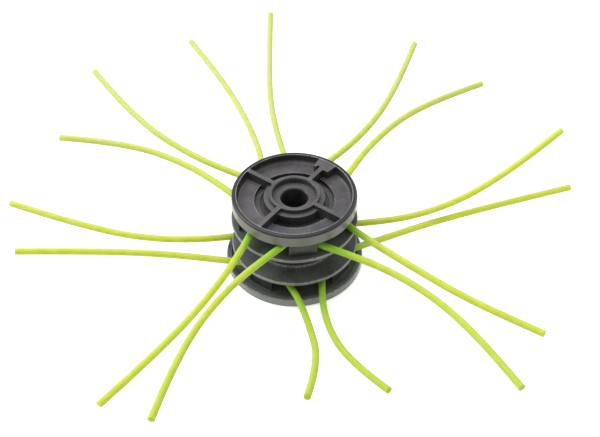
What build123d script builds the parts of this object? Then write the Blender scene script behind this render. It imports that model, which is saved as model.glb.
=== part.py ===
from build123d import *
import math
import os

os.makedirs("parts", exist_ok=True)

# A fixed line head for a brush cutter: two moulded spools stacked on one bolt bore,
# with four cutting lines passed straight through each spool.
# Millimetres, +Z up, origin on the bore axis at the underside of the base.
# The four pillars of the upper spool stand on +X, +Y, -X and -Y, and those of the
# lower spool on the diagonals.

# Bore and collar seat
bore_r = 7.8
seat_r = 12.7
seat_depth = 3.7
washer_r = 11.5
washer_depth = 4.0

# Radii of the hub and the discs
hub_r = 15.0
top_r = 36.5
flange_r = 37.1
base_r = 40.75

# Heights of the stack, from the base upwards
foot_recess = 0.8
base_plate_t = 2.8
base_lip_h = 1.5
lower_groove_h = 10.1
flange_t = 2.3
waist_h = 16.5
upper_groove_h = 10.3
top_plate_t = 2.3
rim_h = 7.6
hub_proud = 0.3

# Rim, spokes and rings of the top disc
rim_w = 2.8
rim_round = 1.5
rim_inner_fillet = 2.2
collar_wall = 2.2
step_ring_w = 3.1
step_ring_drop = 2.4
slot_w = 2.3
slot_drop = 3.2
ledge_w = 3.1
ledge_drop = 2.6
slot_wall = 0.6
ledge_wall = 0.8
spoke_w = 3.0
spoke_draft = 1.0
spoke_count = 4
pad_inner_r = 26.5
pad_half_angle = 10.5
notch_w = 1.8
notch_depth = 1.6
notch_drop = 2.4

# Pillars that hold the lines from outside
pillar_face_r = 33.5
pillar_w = 16.4
pillar_half_angle = 48.0
pillar_nose_r = 2.5
pillar_edge_r = 0.8
pillar_count = 4

# Base
base_lip_w = 3.35
base_lip_round = 0.7
foot_w = 3.0
base_hub_w = 5.0
base_rib_w = 2.0
base_rib_count = 8

# Waist between the two line grooves
waist_r = 24.0
waist_wall = 3.0
waist_fillet = 2.2
core_r = 17.2
core_depth = 12.0
core_rib_w = 3.0

# Square spigot that sets the spools an eighth of a turn apart
spigot_w = 22.0
spigot_h = 5.0
spigot_corner_r = 3.0
spigot_clearance = 0.2

# Edges
edge_r = 0.5
seat_chamfer = 0.5
bore_chamfer = 0.6

# Cutting lines
line_d = 4.0
line_clearance = 0.2
layer_gap = 0.25
upper_line_lift = 0.2

# Levels worked out from the stack
base_floor_z = foot_recess + base_plate_t
lip_z = base_floor_z + base_lip_h
flange_b_z = base_floor_z + lower_groove_h
waist_z = flange_b_z + flange_t
seam_z = waist_z + waist_h
groove_z = seam_z + flange_t
plate_z = groove_z + upper_groove_h
floor_z = plate_z + top_plate_t
rim_z = plate_z + rim_h
collar_z = rim_z + hub_proud
seat_z = collar_z - seat_depth
step_z = rim_z - step_ring_drop
ledge_z = floor_z - ledge_drop
slot_z = floor_z - slot_drop
slot_under_z = slot_z - slot_wall
ledge_under_z = ledge_z - ledge_wall

# Radii worked out from the rings
collar_r = seat_r + collar_wall
step_r = collar_r + step_ring_w
slot_r = step_r + slot_w
trough_r = slot_r + ledge_w
slot_under_r = slot_r + slot_wall
ledge_under_r = trough_r + ledge_wall
rim_inner_r = top_r - rim_w
spoke_from_r = (seat_r + collar_r) / 2
spoke_to_r = (rim_inner_r + top_r) / 2
base_hub_r = hub_r + base_hub_w
lip_inner_r = base_r - base_lip_w

# Heights of the lines' middles: two crossing layers in each groove
line_r = line_d / 2
lower_layer_1 = lip_z + line_clearance + line_r
lower_layer_2 = lower_layer_1 + line_d + layer_gap
upper_layer_1 = groove_z + upper_line_lift + line_r
upper_layer_2 = upper_layer_1 + line_d + layer_gap


# A pillar's outline is a wedge: a flat outer face, and a nose towards the hub
pillar_apex_r = pillar_face_r - pillar_w / 2 / math.tan(math.radians(pillar_half_angle))
pillar_outline = [
    (pillar_apex_r, 0),
    (pillar_face_r, -pillar_w / 2),
    (pillar_face_r, pillar_w / 2),
]


def round_corner(sketch, r, z, radius):
    """Round the corner of a turned section that lies nearest to r, z."""
    fillet(sketch.vertices().sort_by_distance((r, z))[0], radius)


# Upper spool
with BuildPart() as upper_spool:
    # Hub tube with the step ring and the seat for the gearbox collar
    with BuildSketch(Plane.XZ) as hub_section:
        with BuildLine():
            Polyline(
                (bore_r, seam_z),
                (hub_r, seam_z),
                (hub_r, slot_z),
                (step_r, slot_z),
                (step_r, step_z),
                (collar_r, step_z),
                (collar_r, collar_z),
                (seat_r, collar_z),
                (seat_r, seat_z),
                (bore_r, seat_z),
                close=True,
            )
        make_face()
        chamfer(hub_section.vertices().sort_by_distance((seat_r, collar_z))[0], seat_chamfer)
        chamfer(hub_section.vertices().sort_by_distance((bore_r, seat_z))[0], bore_chamfer)
        round_corner(hub_section, step_r, step_z, edge_r)
    revolve(axis=Axis.Z)

    # Flange under the groove
    with BuildSketch(Plane.XZ) as flange_section:
        with BuildLine():
            Polyline(
                (bore_r, seam_z),
                (flange_r, seam_z),
                (flange_r, groove_z),
                (bore_r, groove_z),
                close=True,
            )
        make_face()
        round_corner(flange_section, flange_r, seam_z, edge_r)
        round_corner(flange_section, flange_r, groove_z, edge_r)
    revolve(axis=Axis.Z)

    # Top disc: raised rim, floor, and a sunk ledge and blind slot around the step ring
    with BuildSketch(Plane.XZ) as disc_section:
        with BuildLine():
            Polyline(
                (hub_r, slot_under_z),
                (slot_under_r, slot_under_z),
                (slot_under_r, ledge_under_z),
                (ledge_under_r, ledge_under_z),
                (ledge_under_r, plate_z),
                (top_r, plate_z),
                (top_r, rim_z),
                (rim_inner_r, rim_z),
                (rim_inner_r, floor_z),
                (trough_r, floor_z),
                (trough_r, ledge_z),
                (slot_r, ledge_z),
                (slot_r, slot_z),
                (hub_r, slot_z),
                close=True,
            )
        make_face()
        round_corner(disc_section, top_r, plate_z, edge_r)
        round_corner(disc_section, top_r, rim_z, rim_round)
        round_corner(disc_section, rim_inner_r, floor_z, rim_inner_fillet)
    revolve(axis=Axis.Z)

    # Spokes from the collar to the rim
    with BuildSketch(Plane.XY.offset(plate_z)):
        with PolarLocations((spoke_from_r + spoke_to_r) / 2, spoke_count, start_angle=45):
            Rectangle(spoke_to_r - spoke_from_r, spoke_w)
    extrude(amount=rim_h, taper=spoke_draft)

    # Pad on one spoke, with a shallow notch beside the spoke
    with BuildSketch(Plane.XY.offset(plate_z).rotated((0, 0, 45))):
        half = math.radians(pad_half_angle)
        Polygon(
            (pad_inner_r * math.cos(half), -pad_inner_r * math.sin(half)),
            (spoke_to_r * math.cos(half), -spoke_to_r * math.sin(half)),
            (spoke_to_r * math.cos(half), spoke_to_r * math.sin(half)),
            (pad_inner_r * math.cos(half), pad_inner_r * math.sin(half)),
            align=None,
        )
    extrude(amount=rim_h)
    with BuildSketch(Plane.XY.offset(rim_z).rotated((0, 0, 45))):
        with Locations((pad_inner_r * math.cos(half), (spoke_w + notch_w) / 2)):
            Rectangle(2 * notch_depth, notch_w)
    extrude(amount=-notch_drop, mode=Mode.SUBTRACT)

    # Pillars across the groove
    with BuildSketch(Plane.XY.offset(groove_z)) as pillar_sketch:
        with PolarLocations(0, pillar_count):
            Polygon(*pillar_outline, align=None)
        rings = pillar_sketch.vertices().group_by(lambda v: round(math.hypot(v.X, v.Y), 3))
        fillet(rings[0], pillar_nose_r)
        fillet(rings[-1], pillar_edge_r)
    extrude(amount=upper_groove_h)

    # Square spigot under the flange
    with BuildSketch(Plane.XY.offset(seam_z)):
        RectangleRounded(spigot_w, spigot_w, spigot_corner_r)
        Circle(bore_r, mode=Mode.SUBTRACT)
    extrude(amount=-spigot_h)

upper_spool.part.label = "upper_spool"
export_step(upper_spool.part, "parts/upper_spool.step")


# Lower spool
with BuildPart() as lower_spool:
    # Base disc with a raised lip above and a shallow recess below
    with BuildSketch(Plane.XZ) as base_section:
        with BuildLine():
            Polyline(
                (bore_r, 0),
                (base_hub_r, 0),
                (base_hub_r, foot_recess),
                (base_r - foot_w, foot_recess),
                (base_r - foot_w, 0),
                (base_r, 0),
                (base_r, lip_z),
                (lip_inner_r, lip_z),
                (lip_inner_r, base_floor_z),
                (bore_r, base_floor_z),
                close=True,
            )
        make_face()
        round_corner(base_section, base_r, 0, edge_r)
        round_corner(base_section, base_r, lip_z, base_lip_round)
        round_corner(base_section, lip_inner_r, lip_z, edge_r)
        round_corner(base_section, lip_inner_r, base_floor_z, edge_r)
    revolve(axis=Axis.Z)

    # Ribs under the base, from the hub ring to the foot ring
    rib_from_r = base_hub_r - foot_w / 2
    rib_to_r = base_r - foot_w / 2
    with BuildSketch():
        with PolarLocations((rib_from_r + rib_to_r) / 2, base_rib_count, start_angle=22.5):
            Rectangle(rib_to_r - rib_from_r, base_rib_w)
    extrude(amount=foot_recess)

    # Hub through the groove, flange and waist
    with BuildSketch(Plane.XZ) as hub_section:
        with BuildLine():
            Polyline(
                (bore_r, base_floor_z),
                (hub_r, base_floor_z),
                (hub_r, flange_b_z),
                (flange_r, flange_b_z),
                (flange_r, waist_z),
                (waist_r, waist_z),
                (waist_r, seam_z),
                (bore_r, seam_z),
                close=True,
            )
        make_face()
        round_corner(hub_section, flange_r, flange_b_z, edge_r)
        round_corner(hub_section, flange_r, waist_z, edge_r)
        round_corner(hub_section, waist_r, waist_z, waist_fillet)
    revolve(axis=Axis.Z)

    # Pillars across the groove, on the diagonals
    with BuildSketch(Plane.XY.offset(base_floor_z)) as pillar_sketch:
        with PolarLocations(0, pillar_count, start_angle=45):
            Polygon(*pillar_outline, align=None)
        rings = pillar_sketch.vertices().group_by(lambda v: round(math.hypot(v.X, v.Y), 3))
        fillet(rings[0], pillar_nose_r)
        fillet(rings[-1], pillar_edge_r)
    extrude(amount=lower_groove_h)

    # Cored ring in the waist, left open at the seam and crossed by ribs
    with BuildSketch(Plane.XY.offset(seam_z)):
        Circle(waist_r - waist_wall)
        Circle(core_r, mode=Mode.SUBTRACT)
        with PolarLocations(waist_r - waist_wall / 2, 4, start_angle=45):
            Rectangle(2 * waist_r - 2 * core_r, core_rib_w, mode=Mode.SUBTRACT)
    extrude(amount=-core_depth, mode=Mode.SUBTRACT)

    # Socket for the spigot of the upper spool
    socket_w = spigot_w + 2 * spigot_clearance
    with BuildSketch(Plane.XY.offset(seam_z)):
        RectangleRounded(socket_w, socket_w, spigot_corner_r + spigot_clearance)
    extrude(amount=-(spigot_h + 2 * spigot_clearance), mode=Mode.SUBTRACT)

    # Recess for the head of the clamping bolt
    with BuildSketch():
        Circle(washer_r)
    extrude(amount=washer_depth, mode=Mode.SUBTRACT)
lower_spool.part.label = "lower_spool"
export_step(lower_spool.part, "parts/lower_spool.step")


# Cutting lines: each is one length of stiff round monofilament, passed beside the hub
# and held from outside by two pillars. A route lists x, y and the rise above its layer,
# from one cut end to the other.
line_routes = {
    "upper_line_1": (
        upper_layer_2,
        [
            (-93, -143.5, 3.6),
            (-76, -100.5, 2.1),
            (-47, -60, 1.4),
            (-13.4, -32.2, 0.9),
            (8, -17, 0),
            (17.9, -5.8, 0),
            (31.3, 17.2, 0.6),
            (58.5, 54.5, -0.9),
            (95, 85, -2.4),
            (139.5, 102.5, -4.4),
        ],
    ),
    "upper_line_2": (
        upper_layer_2,
        [
            (-118.5, -125.5, -2.4),
            (-84.5, -94.5, -1.4),
            (-52.9, -58.7, -0.2),
            (-28.2, -20.3, 0.4),
            (-17.8, 6.1, 0),
            (-7.7, 17.2, 0),
            (19.1, 30.3, 0),
            (53.5, 59, 0.9),
            (81.5, 98.5, 2.2),
            (102.5, 141.5, 3.6),
        ],
    ),
    "upper_line_3": (
        upper_layer_1,
        [
            (93.5, -151.5, 7.2),
            (79, -104, 4),
            (51.5, -60, 1.2),
            (14.7, -31.8, 1.1),
            (-7.4, -17.3, 0),
            (-17.7, -6.4, 0),
            (-32, 18.4, 1),
            (-58, 53, -0.5),
            (-94.5, 80, -1.5),
            (-135, 92.5, -2.8),
        ],
    ),
    "upper_line_4": (
        upper_layer_1,
        [
            (117.5, -113.5, 1.2),
            (88, -88, 0.8),
            (59.3, -54.9, 0.3),
            (30.1, -18.1, 0),
            (17.8, 6.1, 0),
            (7.7, 17.2, 0),
            (-18.5, 29.8, 0),
            (-57.9, 60.2, 1.2),
            (-89.5, 101, 3),
            (-110.5, 147, 5.2),
        ],
    ),
    "lower_line_1": (
        lower_layer_1,
        [
            (-13.2, -132, 25.6),
            (-1.8, -101.5, 15.1),
            (-1.5, -67.5, 5.6),
            (-4.6, -35.5, 0),
            (-16, -10, 0),
            (-18.2, 4.9, 0),
            (-13.5, 33.5, 0),
            (-8, 79.5, 1.2),
            (-14.9, 126, 3.1),
            (-28, 170.5, 5.4),
            (-43.3, 208, 7.6),
        ],
    ),
    "lower_line_2": (
        lower_layer_1,
        [
            (30.8, -128, 17.6),
            (15, -100, 10.6),
            (8.2, -67, 4),
            (10.2, -35.3, 0),
            (17.1, -7.9, 0),
            (17.5, 7.1, 0),
            (13, 35.7, 0),
            (4.8, 79.5, 3.9),
            (2.2, 124, 9.6),
            (7.5, 168, 16.4),
            (14.3, 210, 23.6),
        ],
    ),
    "lower_line_3": (
        lower_layer_2,
        [
            (-168, 57.3, 3.6),
            (-128, 33.5, 2.1),
            (-83.5, 14.5, 0.8),
            (-36, 10.4, -0.3),
            (-7.5, 17.3, 0),
            (7.5, 17.3, 0),
            (36.2, 10.6, -0.3),
            (83, 5.2, 7),
            (131, 16.5, 20.1),
            (173, 39.5, 33.6),
        ],
    ),
    "lower_line_4": (
        lower_layer_2,
        [
            (-164.5, 10.7, 7.6),
            (-122, 7.5, 4.6),
            (-78, 1.5, 1.8),
            (-35.3, -10.2, 0),
            (-7.2, -17.4, 0),
            (7.8, -17.2, 0),
            (35.6, -8.9, -0.2),
            (82.5, 4, 0.7),
            (130.5, 12.8, 2.1),
            (176.5, 19.3, 3.6),
        ],
    ),
}


def bend_radii(points):
    """The largest arc at each corner of a route: 0.45 of its shorter run, over the tangent of half the turn."""
    radii = []
    for before, corner, after in zip(points, points[1:], points[2:]):
        arriving = Vector(corner) - Vector(before)
        leaving = Vector(after) - Vector(corner)
        half_turn = math.radians(arriving.get_angle(leaving)) / 2
        radii.append(0.45 * min(arriving.length, leaving.length) / math.tan(half_turn))
    return radii


for name, (layer_z, points) in line_routes.items():
    route = [(x, y, layer_z + rise) for x, y, rise in points]
    radii = bend_radii(route)
    with BuildPart() as line:
        with BuildLine() as centre:
            FilletPolyline(*route, radius=radii)
        with BuildSketch(Plane(centre.line @ 0, z_dir=centre.line % 0)):
            Circle(line_r)
        sweep()
    length = centre.wire().length
    line.part.label = name
    export_step(line.part, f"parts/{name}.step")
    ratio = line.part.volume / (math.pi * line_r**2 * length)
    print(name, "length", round(length, 1), "volume over section times length", round(ratio, 5))
    print("  radii", [round(r) for r in radii])
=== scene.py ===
import math

import bpy
import numpy as np
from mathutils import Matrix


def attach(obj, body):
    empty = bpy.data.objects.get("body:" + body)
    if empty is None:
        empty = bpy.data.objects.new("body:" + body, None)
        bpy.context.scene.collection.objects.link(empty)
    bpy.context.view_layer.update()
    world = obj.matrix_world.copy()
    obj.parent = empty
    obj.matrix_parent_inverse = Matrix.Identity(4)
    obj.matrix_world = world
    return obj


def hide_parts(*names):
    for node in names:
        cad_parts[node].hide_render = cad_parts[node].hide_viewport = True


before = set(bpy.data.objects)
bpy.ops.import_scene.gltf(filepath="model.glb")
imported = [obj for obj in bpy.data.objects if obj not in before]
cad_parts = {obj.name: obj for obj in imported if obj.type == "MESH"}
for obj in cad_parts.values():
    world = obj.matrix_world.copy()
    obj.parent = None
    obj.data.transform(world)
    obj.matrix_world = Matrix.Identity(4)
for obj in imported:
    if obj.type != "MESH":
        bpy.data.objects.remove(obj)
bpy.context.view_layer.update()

scene = bpy.context.scene
MM = 0.001

# Camera of the photograph, worked out from the ellipses of the discs: millimetres and degrees
sensor_width = 36.0
lens_length = 76.14
camera_place = (-78.03, -531.5, 551.04)
camera_turn = (46.0, 0.0, -8.7)

# Cutting lines: the same route points as the solids, in millimetres, from cut end to cut end.
# Each route has the height of its layer, its length in metres and its points, whose last number
# is the height over the layer.
line_d = 4.0
upper_layer_1 = 37.0
upper_layer_2 = 41.25
lower_layer_1 = 7.3
lower_layer_2 = 11.55

line_routes = {
    "upper_line_1": (
        upper_layer_2,
        0.348,
        [
            (-93, -143.5, 3.6),
            (-76, -100.5, 2.1),
            (-47, -60, 1.4),
            (-13.4, -32.2, 0.9),
            (8, -17, 0),
            (17.9, -5.8, 0),
            (31.3, 17.2, 0.6),
            (58.5, 54.5, -0.9),
            (95, 85, -2.4),
            (139.5, 102.5, -4.4),
        ],
    ),
    "upper_line_2": (
        upper_layer_2,
        0.353,
        [
            (-118.5, -125.5, -2.4),
            (-84.5, -94.5, -1.4),
            (-52.9, -58.7, -0.2),
            (-28.2, -20.3, 0.4),
            (-17.8, 6.1, 0),
            (-7.7, 17.2, 0),
            (19.1, 30.3, 0),
            (53.5, 59, 0.9),
            (81.5, 98.5, 2.2),
            (102.5, 141.5, 3.6),
        ],
    ),
    "upper_line_3": (
        upper_layer_1,
        0.348,
        [
            (93.5, -151.5, 7.2),
            (79, -104, 4),
            (51.5, -60, 1.2),
            (14.7, -31.8, 1.1),
            (-7.4, -17.3, 0),
            (-17.7, -6.4, 0),
            (-32, 18.4, 1),
            (-58, 53, -0.5),
            (-94.5, 80, -1.5),
            (-135, 92.5, -2.8),
        ],
    ),
    "upper_line_4": (
        upper_layer_1,
        0.352,
        [
            (117.5, -113.5, 1.2),
            (88, -88, 0.8),
            (59.3, -54.9, 0.3),
            (30.1, -18.1, 0),
            (17.8, 6.1, 0),
            (7.7, 17.2, 0),
            (-18.5, 29.8, 0),
            (-57.9, 60.2, 1.2),
            (-89.5, 101, 3),
            (-110.5, 147, 5.2),
        ],
    ),
    "lower_line_1": (
        lower_layer_1,
        0.353,
        [
            (-13.2, -132, 25.6),
            (-1.8, -101.5, 15.1),
            (-1.5, -67.5, 5.6),
            (-4.6, -35.5, 0),
            (-16, -10, 0),
            (-18.2, 4.9, 0),
            (-13.5, 33.5, 0),
            (-8, 79.5, 1.2),
            (-14.9, 126, 3.1),
            (-28, 170.5, 5.4),
            (-43.3, 208, 7.6),
        ],
    ),
    "lower_line_2": (
        lower_layer_1,
        0.348,
        [
            (30.8, -128, 17.6),
            (15, -100, 10.6),
            (8.2, -67, 4),
            (10.2, -35.3, 0),
            (17.1, -7.9, 0),
            (17.5, 7.1, 0),
            (13, 35.7, 0),
            (4.8, 79.5, 3.9),
            (2.2, 124, 9.6),
            (7.5, 168, 16.4),
            (14.3, 210, 23.6),
        ],
    ),
    "lower_line_3": (
        lower_layer_2,
        0.363,
        [
            (-168, 57.3, 3.6),
            (-128, 33.5, 2.1),
            (-83.5, 14.5, 0.8),
            (-36, 10.4, -0.3),
            (-7.5, 17.3, 0),
            (7.5, 17.3, 0),
            (36.2, 10.6, -0.3),
            (83, 5.2, 7),
            (131, 16.5, 20.1),
            (173, 39.5, 33.6),
        ],
    ),
    "lower_line_4": (
        lower_layer_2,
        0.348,
        [
            (-164.5, 10.7, 7.6),
            (-122, 7.5, 4.6),
            (-78, 1.5, 1.8),
            (-35.3, -10.2, 0),
            (-7.2, -17.4, 0),
            (7.8, -17.2, 0),
            (35.6, -8.9, -0.2),
            (82.5, 4, 0.7),
            (130.5, 12.8, 2.1),
            (176.5, 19.3, 3.6),
        ],
    ),
}
spline_order = 3
steps_along = 16
steps_round = 8

# Where the moulding's finish changes, in metres: each mask fades in from the first to the second
rim_radius, rim_height = (0.0337, 0.0341), (0.0500, 0.0510)
# The slot's floor is painted shade: kept dark to stand in for the shadow deep in the slot
painted_shade_slot_floor, painted_shade_slot_top, painted_shade_slot_wall = (0.0430, 0.0437), (0.0443, 0.0447), (0.0205, 0.0215)
# The upright bands beyond these radii are painted light: paler to stand in for the bright floor's
# light on the outer sides
painted_light_band_radius, painted_light_lip_radius = (0.0359, 0.0363), (0.0398, 0.0402)
top_disc_height = (0.0400, 0.0430)

# The same for the surface's slope: 1 is a level face that looks up, 0 an upright one
level_slope, round_slope = (0.7, 0.95), (0.2, 0.5)
upright_from, upright_to = (-0.5, -0.2), (0.2, 0.6)

# Edges that are partly rubbed pale by wear and partly lightened as painted highlights where their
# # fillets catch the light, and the foot of the waist, which is a painted highlight of its fillet:
# # radius and height of each circle and how far the pale reaches, in millimetres
wear_and_highlight_edges = (
    (33.7, 52.7, 0.6),
    (37.0, 34.6, 0.7),
    (37.0, 15.8, 0.7),
    (15.2, 53.0, 0.45),
    (12.8, 53.0, 0.35),
    (18.3, 50.6, 0.4),
    (23.4, 47.4, 0.35),
    (40.4, 4.9, 0.6),
    (24.9, 17.0, 0.9),
)

# Colours of the moulding, two where it is mottled between them. The level tones are paler than
# # the dark tones, partly for the eroded finish and partly as painted light on faces that look up,
# # and the low level tones are lifted a little as painted light in the shaded grooves
dark_tones = (0.028, 0.0296, 0.0285), (0.058, 0.0607, 0.0585)
low_tones = (0.080, 0.086, 0.078), (0.150, 0.160, 0.146)
top_tones = (0.074, 0.068, 0.073), (0.142, 0.130, 0.141)
# Painted light: the outer upright bands and the lip are paler where the bright floor lights them
painted_light_band_colour = (0.205, 0.210, 0.188)
painted_light_lip_colour = (0.285, 0.297, 0.262)
rim_colour = (0.020, 0.019, 0.022)
# Pale of the edges: partly wear, partly painted highlight
wear_and_highlight_colour = (0.42, 0.42, 0.43)

# Colours of the line, and where each one begins and is full: distances in metres, and shares of
# # the distance from the bore's axis. The paler colours behind and to the right are painted light,
# # and the greener colours in front and in and near the head are painted shade
line_tones = (0.595, 0.685, 0.094), (0.655, 0.735, 0.130)
painted_light_back_colour, painted_light_back_zone = (0.63, 0.665, 0.375), (0.0, 0.12)
painted_shade_front_colour, painted_shade_front_zone = (0.46, 0.60, 0.080), (0.72, 0.97)
painted_light_right_colour, painted_light_right_zone = (0.74, 0.83, 0.155), (0.75, 0.98)
painted_shade_head_colour, painted_shade_head_zone = (0.36, 0.64, 0.062), (0.037, 0.052)

# Studio, in metres, with the lamps' power in watts: place, size and power of each
lamp_target = (0.0, 0.0, 0.03)
lamps = {
    "top_light": ((-0.25, 0.38, 1.55), 1.3, 10.0),
    "left_light": ((-1.15, 0.55, 1.00), 1.0, 11.0),
    "right_light": ((1.15, 0.60, 1.00), 1.0, 3.0),
}
room_light = 0.57
floor_half = 3.0
floor_grey = 0.90
floor_glow = 0.55


class Value:
    """A number that changes over a surface, held as a node socket, so shader maths reads as sums."""

    def __init__(self, finish, socket):
        self.finish, self.socket = finish, socket

    def maths(self, operation, a, b):
        return self.finish.node("ShaderNodeMath", {"operation": operation}, {0: a, 1: b})

    def __add__(self, other):
        return self.maths("ADD", self, other)

    __radd__ = __add__

    def __mul__(self, other):
        return self.maths("MULTIPLY", self, other)

    __rmul__ = __mul__

    def __sub__(self, other):
        return self.maths("SUBTRACT", self, other)

    def __rsub__(self, other):
        return self.maths("SUBTRACT", other, self)

    def __truediv__(self, other):
        return self.maths("DIVIDE", self, other)

    def __pow__(self, other):
        return self.maths("POWER", self, other)


class Finish:
    """The nodes of a material or of the world, with one method that adds any node."""

    def __init__(self, owner):
        owner.use_nodes = True
        self.owner, self.tree = owner, owner.node_tree
        self.tree.nodes.clear()

    def node(self, kind, settings=None, sockets=None, output=0):
        """Adds a node: its settings are set first, then each socket gets a value or a link."""
        made = self.tree.nodes.new(kind)
        for name, value in (settings or {}).items():
            setattr(made, name, value)
        for name, value in (sockets or {}).items():
            if isinstance(value, Value):
                self.tree.links.new(value.socket, made.inputs[name])
            else:
                made.inputs[name].default_value = value
        return Value(self, made.outputs[output])

    def place(self):
        """The surface point in the part's own frame, in metres."""
        return self.node("ShaderNodeTexCoord", output="Object")

    def part_of(self, vector, axis):
        """One of the three numbers of a vector."""
        return self.node("ShaderNodeSeparateXYZ", {}, {"Vector": vector}, output=axis)

    def radius(self):
        """Distance from the bore's axis, in metres: the point's length with its height left out."""
        across = {0: self.place(), 1: (1.0, 1.0, 0.0)}
        flat = self.node("ShaderNodeVectorMath", {"operation": "MULTIPLY"}, across)
        return self.node("ShaderNodeVectorMath", {"operation": "LENGTH"}, {0: flat}, output="Value")

    def height(self):
        """Height over the base, in metres."""
        return self.part_of(self.place(), "Z")

    def facing_up(self):
        """The surface's own slope: 1 where it is level and looks up, 0 upright, -1 underneath."""
        return self.part_of(self.node("ShaderNodeNewGeometry", output="Normal"), "Z")

    def noise(self, size, detail=3.0, roughness=0.5):
        """Soft noise from 0 to 1 whose lumps are about size metres across."""
        look = {"Scale": 1.0 / size, "Detail": detail, "Roughness": roughness}
        sockets = {"Vector": self.place(), **look}
        return self.node("ShaderNodeTexNoise", {"noise_dimensions": "3D"}, sockets)

    def step(self, value, low, high):
        """0 below low, 1 above high, and smooth between them."""
        limits = {"Value": value, "From Min": low, "From Max": high, "To Min": 0.0, "To Max": 1.0}
        smooth = {"interpolation_type": "SMOOTHSTEP", "clamp": True}
        return self.node("ShaderNodeMapRange", smooth, limits)

    def largest(self, values):
        """The largest of several masks."""
        top = values[0]
        for value in values[1:]:
            top = top.maths("MAXIMUM", top, value)
        return top

    def blend(self, share, a, b):
        """Colour a where share is 0, colour b where it is 1."""
        ends = [colour if isinstance(colour, Value) else (*colour, 1.0) for colour in (a, b)]
        sockets = {0: share, 6: ends[0], 7: ends[1]}
        return self.node("ShaderNodeMix", {"data_type": "RGBA"}, sockets, output=2)

    def ring(self, radius, height, width):
        """1 on a circle round the bore's axis, fading to 0 at width away: the distance is the root
        of the squared differences in radius and in height."""
        across, up = self.radius() - radius * MM, self.height() - height * MM
        away = (across * across + up * up) ** 0.5
        return 1.0 - self.step(away, 0.3 * width * MM, width * MM)

    def bump(self, height, distance):
        """A surface normal tilted by height, which is worth distance metres at 1."""
        return self.node("ShaderNodeBump", {}, {"Height": height, "Distance": distance})

    def end(self, kind, surface):
        """Links the finished surface to the output node."""
        self.tree.links.new(surface.socket, self.tree.nodes.new(kind).inputs["Surface"])
        return self.owner

    def principled(self, sockets):
        """Ends a material with a Principled surface."""
        surface = self.node("ShaderNodeBsdfPrincipled", {}, sockets)
        return self.end("ShaderNodeOutputMaterial", surface)


def spool_plastic():
    """Dark grey glass-filled nylon from a spark-eroded mould. The level faces are satin and
    mottled with flow marks, and paler than the rest, partly for their eroded finish and partly as
    painted light from above. The rim is polished and darker, and the slot's floor is darkened as
    painted shade. The upright bands round the discs are paler as painted light from the bright
    floor, and edges are partly rubbed pale by wear and partly lightened as painted highlights."""
    f = Finish(bpy.data.materials.new("spool_plastic"))
    mottle = f.noise(0.014, 4.0)
    grain = f.noise(0.0012, 3.0, 0.6)
    pits = f.noise(0.0004, 2.0)
    up, radius, height = f.facing_up(), f.radius(), f.height()

    rim = f.step(radius, *rim_radius) * f.step(height, *rim_height)
    # Painted shade: the slot's floor takes the dark colour instead of the paler level colour
    painted_shade_slot = f.step(height, *painted_shade_slot_floor) * (1.0 - f.step(height, *painted_shade_slot_top))
    painted_shade_slot = painted_shade_slot * (1.0 - f.step(radius, *painted_shade_slot_wall))
    # Level faces: paler partly for their eroded finish and partly as painted light from above
    eroded_and_painted_light = f.step(up, *level_slope) * (1.0 - rim) * (1.0 - painted_shade_slot)
    upright = f.step(up, *upright_from) * (1.0 - f.step(up, *upright_to))
    # Painted light on the outer upright sides, which the bright floor lights
    painted_light_band = upright * f.step(radius, *painted_light_band_radius)
    painted_light_lip_band = upright * f.step(radius, *painted_light_lip_radius)
    # Dashed pale rings on the edges: partly wear, partly painted highlight
    wear_and_highlight_dashes = f.step(grain, 0.3, 0.6) * f.step(mottle, 0.35, 0.55)
    wear_and_highlight = f.largest([f.ring(*circle) for circle in wear_and_highlight_edges])

    tone = f.step(0.58 * mottle + 0.42 * grain, 0.38, 0.62)
    dark, low, top = (f.blend(tone, *tones) for tones in (dark_tones, low_tones, top_tones))
    # Level faces under the top disc are lifted a little as painted light in the shaded grooves
    level = f.blend(f.step(height, *top_disc_height), low, top)
    colour = f.blend(eroded_and_painted_light, dark, level)
    colour = f.blend(0.9 * painted_light_band, colour, painted_light_band_colour)
    colour = f.blend(0.9 * painted_light_lip_band, colour, painted_light_lip_colour)
    colour = f.blend(rim * f.step(up, *round_slope), colour, rim_colour)
    colour = f.blend(wear_and_highlight * (0.25 + 0.65 * wear_and_highlight_dashes), colour, wear_and_highlight_colour)
    return f.principled(
        {
            "Base Color": colour,
            "Roughness": 0.17 + 0.12 * grain + 0.23 * eroded_and_painted_light + 0.03 * rim,
            "IOR": 1.48,
            "Normal": f.bump(0.7 * pits + 0.3 * grain, 0.00003),
        }
    )


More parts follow.
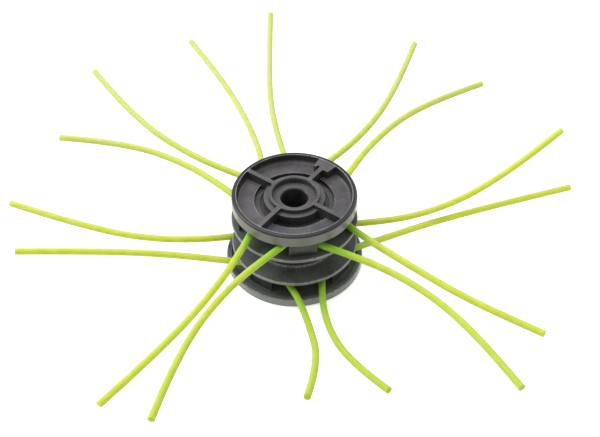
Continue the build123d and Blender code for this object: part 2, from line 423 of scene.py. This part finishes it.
def line_nylon():
    """Yellow-green cutting line: clear-coloured nylon that light soaks into. It is paler behind
    and to the right as painted light, and greener and darker in front and where it lies in and
    near the head as painted shade."""
    f = Finish(bpy.data.materials.new("line_nylon"))
    mottle = f.noise(0.006, 3.0)
    right, back, radius = f.part_of(f.place(), "X"), f.part_of(f.place(), "Y"), f.radius()
    head_shade_reach = radius + 0.3 * back + 0.010 * f.noise(0.02, 1.0)

    colour = f.blend(f.step(mottle, 0.3, 0.7), *line_tones)
    # Painted light behind and to the right, painted shade in front and at the head
    colour = f.blend(0.5 * f.step(back, *painted_light_back_zone), colour, painted_light_back_colour)
    colour = f.blend(0.8 * f.step(-1.0 * back / radius, *painted_shade_front_zone), colour, painted_shade_front_colour)
    colour = f.blend(0.5 * f.step(right / radius, *painted_light_right_zone), colour, painted_light_right_colour)
    colour = f.blend(0.9 * (1.0 - f.step(head_shade_reach, *painted_shade_head_zone)), colour, painted_shade_head_colour)
    return f.principled(
        {
            "Base Color": colour,
            "Roughness": 0.50 + 0.16 * mottle,
            "Specular IOR Level": 0.25,
            "Subsurface Weight": 0.8,
            "Subsurface Radius": (1.0, 1.0, 0.25),
            "Subsurface Scale": 0.005,
            "IOR": 1.53,
            "Normal": f.bump(f.noise(0.0009, 2.0), 0.00005),
        }
    )


def give(piece, material):
    """Makes material the only one on a piece."""
    piece.data.materials.clear()
    piece.data.materials.append(material)


def photo_camera():
    """The camera that took the photograph."""
    data = bpy.data.cameras.new("camera")
    data.sensor_width = sensor_width
    data.lens = lens_length
    camera = bpy.data.objects.new("camera", data)
    camera.location = [v * MM for v in camera_place]
    camera.rotation_euler = [math.radians(v) for v in camera_turn]
    scene.collection.objects.link(camera)
    scene.camera = camera


def cutting_line(name, material):
    """A round line swept along a smooth spline whose control points are the route's, cut square at
    both ends."""
    layer, length, points = line_routes[name]
    route = (np.array(points, float) + (0.0, 0.0, layer)) * MM
    curve = bpy.data.curves.new(name + "_strand", "CURVE")
    curve.dimensions = "3D"
    spline = curve.splines.new("NURBS")
    spline.points.add(len(route) - 1)
    spline.points.foreach_set("co", np.column_stack([route, np.ones(len(route))]).ravel())
    spline.order_u = spline_order
    spline.use_endpoint_u = True
    spline.resolution_u = steps_along
    curve.bevel_depth = line_d / 2 * MM
    curve.bevel_resolution = steps_round
    curve.use_fill_caps = True
    strand = bpy.data.objects.new(name + "_strand", curve)
    scene.collection.objects.link(strand)
    give(strand, material)
    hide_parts(name)
    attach(strand, "root")


def seen_white(f, light):
    """light where the camera, a gloss or a clear piece looks straight at the surface, and 0 for all
    other light."""
    rays = ("Is Camera Ray", "Is Glossy Ray", "Is Transmission Ray")
    return light * f.largest([f.node("ShaderNodeLightPath", output=ray) for ray in rays])


def studio_floor():
    """A pale surface that takes the object's shadow, and is white to the camera where no shadow
    falls."""
    f = Finish(bpy.data.materials.new("studio_floor"))
    pale = f.node("ShaderNodeBsdfDiffuse", {}, {"Color": (floor_grey, floor_grey, floor_grey, 1.0)})
    white = {"Color": (1.0, 1.0, 1.0, 1.0), "Strength": seen_white(f, floor_glow)}
    glow = f.node("ShaderNodeEmission", {}, white)
    return f.end("ShaderNodeOutputMaterial", f.node("ShaderNodeAddShader", {}, {0: pale, 1: glow}))


def floor():
    """A flat square under the head."""
    mesh = bpy.data.meshes.new("floor")
    corners = [(x * floor_half, y * floor_half, 0) for x, y in ((-1, -1), (1, -1), (1, 1), (-1, 1))]
    mesh.from_pydata(corners, [], [(0, 1, 2, 3)])
    piece = bpy.data.objects.new("floor", mesh)
    scene.collection.objects.link(piece)
    give(piece, studio_floor())


def softbox(name, place, size, power):
    """A square area lamp of that size, turned to the lamps' target."""
    lamp = bpy.data.lights.new(name, "AREA")
    lamp.shape, lamp.size, lamp.energy = "SQUARE", size, power
    box = bpy.data.objects.new(name, lamp)
    box.location = place
    aim = np.array(lamp_target) - np.array(place)
    turn = math.atan2(aim[1], aim[0])
    tilt = math.acos(-aim[2] / np.linalg.norm(aim))
    box.rotation_euler = (tilt, 0.0, turn - math.pi / 2)
    scene.collection.objects.link(box)


def studio_room():
    """The room round the floor: white when looked at, and a weaker even light on everything."""
    f = Finish(bpy.data.worlds.new("studio_room"))
    scene.world = f.owner
    strength = room_light + seen_white(f, 1.0 - room_light)
    f.end("ShaderNodeOutputWorld", f.node("ShaderNodeBackground", {}, {"Strength": strength}))


photo_camera()

plastic, nylon = spool_plastic(), line_nylon()
for name in ("upper_spool", "lower_spool"):
    give(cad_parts[name], plastic)
for name in line_routes:
    cutting_line(name, nylon)

floor()
for name, (place, size, power) in lamps.items():
    softbox(name, place, size, power)
studio_room()

scene.view_settings.view_transform = "Standard"
